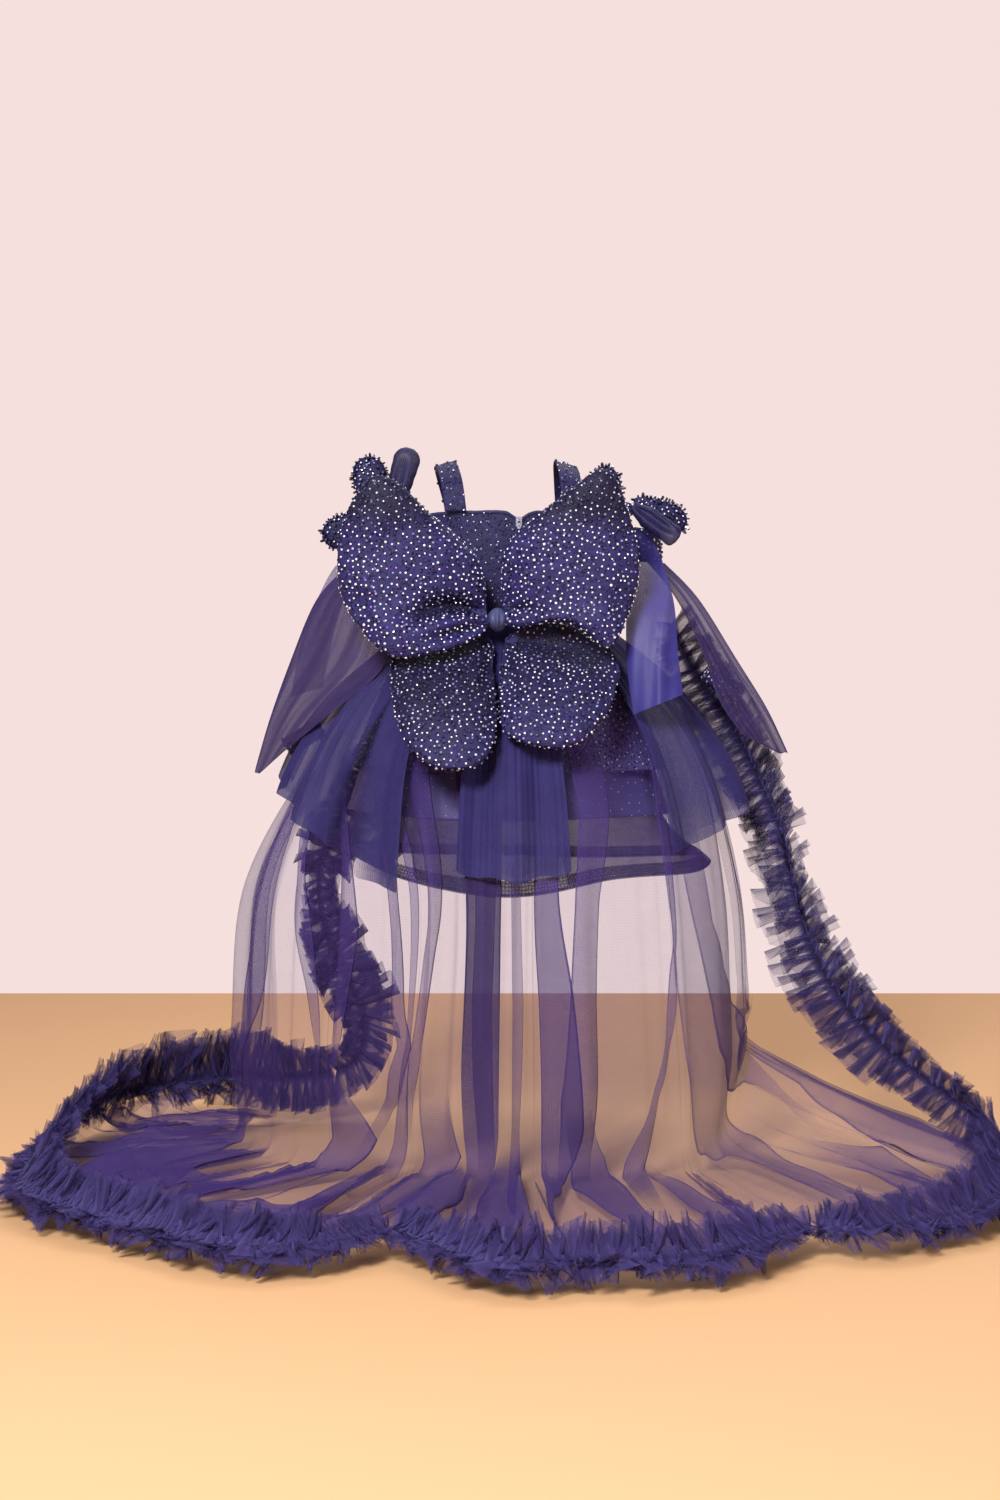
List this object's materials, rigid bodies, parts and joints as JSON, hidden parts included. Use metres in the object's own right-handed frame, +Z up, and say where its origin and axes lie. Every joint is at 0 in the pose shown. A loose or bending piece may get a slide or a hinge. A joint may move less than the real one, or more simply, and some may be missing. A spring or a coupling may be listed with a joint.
{
  "type": "child's beaded party dress with a back bow and a tulle train",
  "caption": "Sleeveless beaded child's dress with off-shoulder bands, butterfly back bow, layered skirt and frilled tulle train.",
  "frame": {"origin": "midway between the tops of the two shoulder straps, where the wearer's shoulders hold the dress", "axes": "+Z up, +X to the wearer's right, +Y to the wearer's front; the bow and the train are on the -Y side"},
  "size_m": [0.9291, 0.7628, 0.6752],
  "materials": {
    "beaded": "navy cloth set with small stones",
    "satin": "navy satin",
    "organza": "crisp sheer navy organza",
    "tulle": "soft sheer navy tulle net",
    "zip_metal": "pale metal"
  },
  "bodies": {
    "dress": {"bodice_back_left": "beaded", "bodice_back_right": "beaded", "bodice_front": "beaded", "zip_slider": "zip_metal", "strap_left": "beaded", "strap_right": "beaded", "arm_band_left": "beaded", "arm_band_right": "beaded", "petticoat_back": "organza", "petticoat_front": "organza", "satin_skirt_back": "satin", "satin_skirt_front": "satin", "beaded_skirt_back": "beaded", "beaded_skirt_front": "beaded", "horsehair_braid_back": "organza", "horsehair_braid_front": "organza", "frill_left_fall": "tulle", "frill_left_floor": "tulle", "frill_back_left": "tulle", "frill_back_right": "tulle", "frill_right_floor": "tulle", "frill_right_rise": "tulle", "train_far_left": "tulle", "train_left": "tulle", "train_centre_left": "tulle", "train_centre_right": "tulle", "train_right": "tulle", "overskirt_left": "tulle", "overskirt_centre": "tulle", "overskirt_right": "tulle", "bow_wing_upper_left": "beaded", "bow_wing_upper_right": "beaded", "bow_wing_lower_left": "beaded", "bow_wing_lower_right": "beaded", "bow_knot": "satin", "shoulder_bow_left_knot": "beaded", "shoulder_bow_left_wing_upper": "beaded", "shoulder_bow_left_wing_lower": "beaded", "shoulder_bow_left_loop": "organza", "shoulder_bow_left_tail": "organza", "shoulder_bow_right_knot": "beaded", "shoulder_bow_right_wing_upper": "beaded", "shoulder_bow_right_wing_lower": "beaded", "shoulder_bow_right_loop": "organza", "shoulder_bow_right_tail": "organza", "sleeve_left": "tulle", "sleeve_right": "tulle", "cuff_left": "beaded", "cuff_right": "beaded"},
    "pull_tab": {"zip_pull_tab": "zip_metal"}
  },
  "joints": [
    {"name": "pull_tab_swing", "type": "hinge", "parent": "dress", "child": "pull_tab", "pos_m": [0.0183, -0.0722, -0.062], "axis": [-1, 0, 0], "range_deg": [0, 165]}
  ]
}
